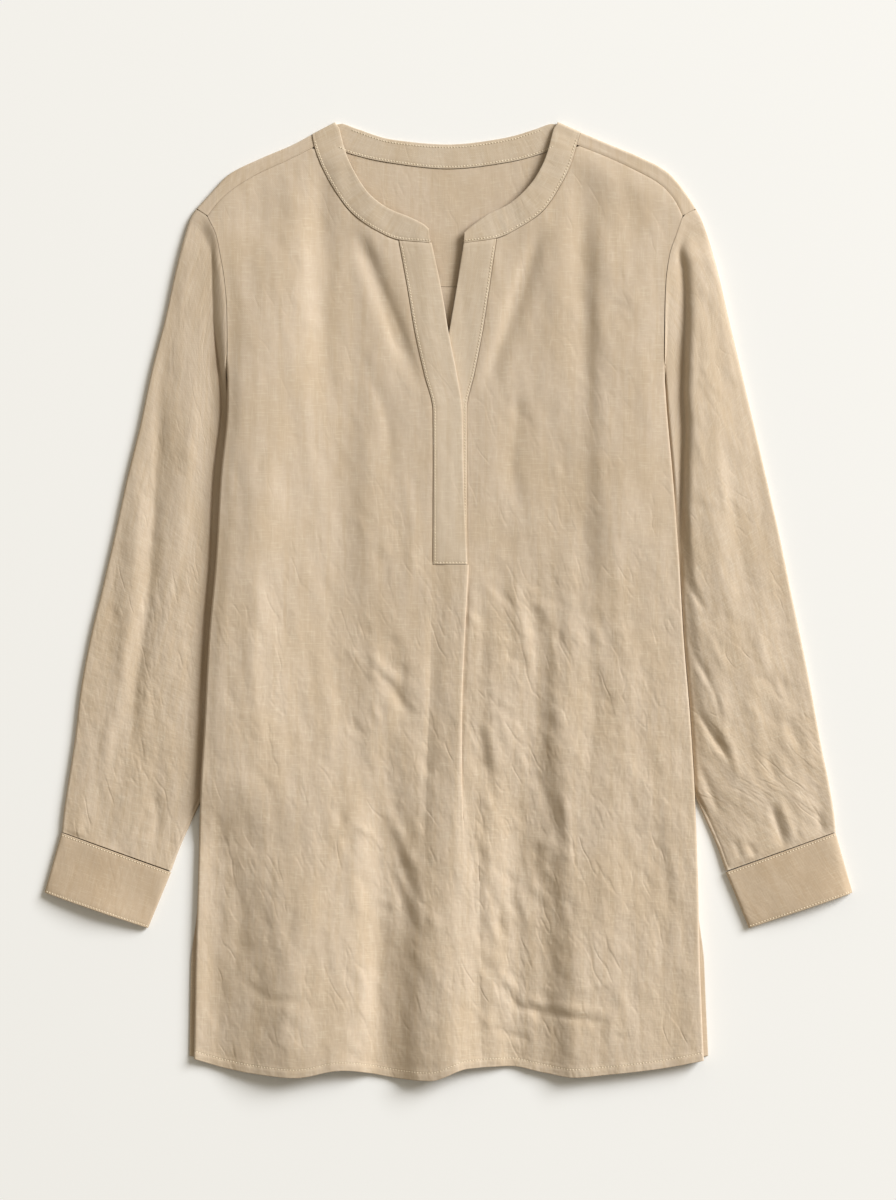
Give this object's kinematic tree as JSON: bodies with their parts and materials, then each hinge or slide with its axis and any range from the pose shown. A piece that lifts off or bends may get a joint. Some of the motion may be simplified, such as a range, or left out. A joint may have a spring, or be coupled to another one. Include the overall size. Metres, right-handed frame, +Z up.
{
  "type": "long-sleeve tunic top",
  "caption": "Long-sleeved linen tunic top with a band collar, half placket and pleat, laid flat and face up.",
  "frame": {"origin": "on the surface that the garment lies on, under the middle of its outline", "axes": "+Z up, out of the garment's front; +Y along the body towards the neck; +X to the viewer's right"},
  "size_m": [0.6876, 0.8157, 0.0174],
  "materials": {
    "linen": "matte plain weave",
    "linen_faced": "matte plain weave, interfaced"
  },
  "bodies": {
    "root": {"back": "linen", "front": "linen", "yoke": "linen", "sleeve_left": "linen", "sleeve_right": "linen", "cuff_left": "linen_faced", "cuff_right": "linen_faced", "neckband": "linen_faced", "placket_upper": "linen_faced", "placket_lower": "linen_faced"}
  },
  "joints": []
}
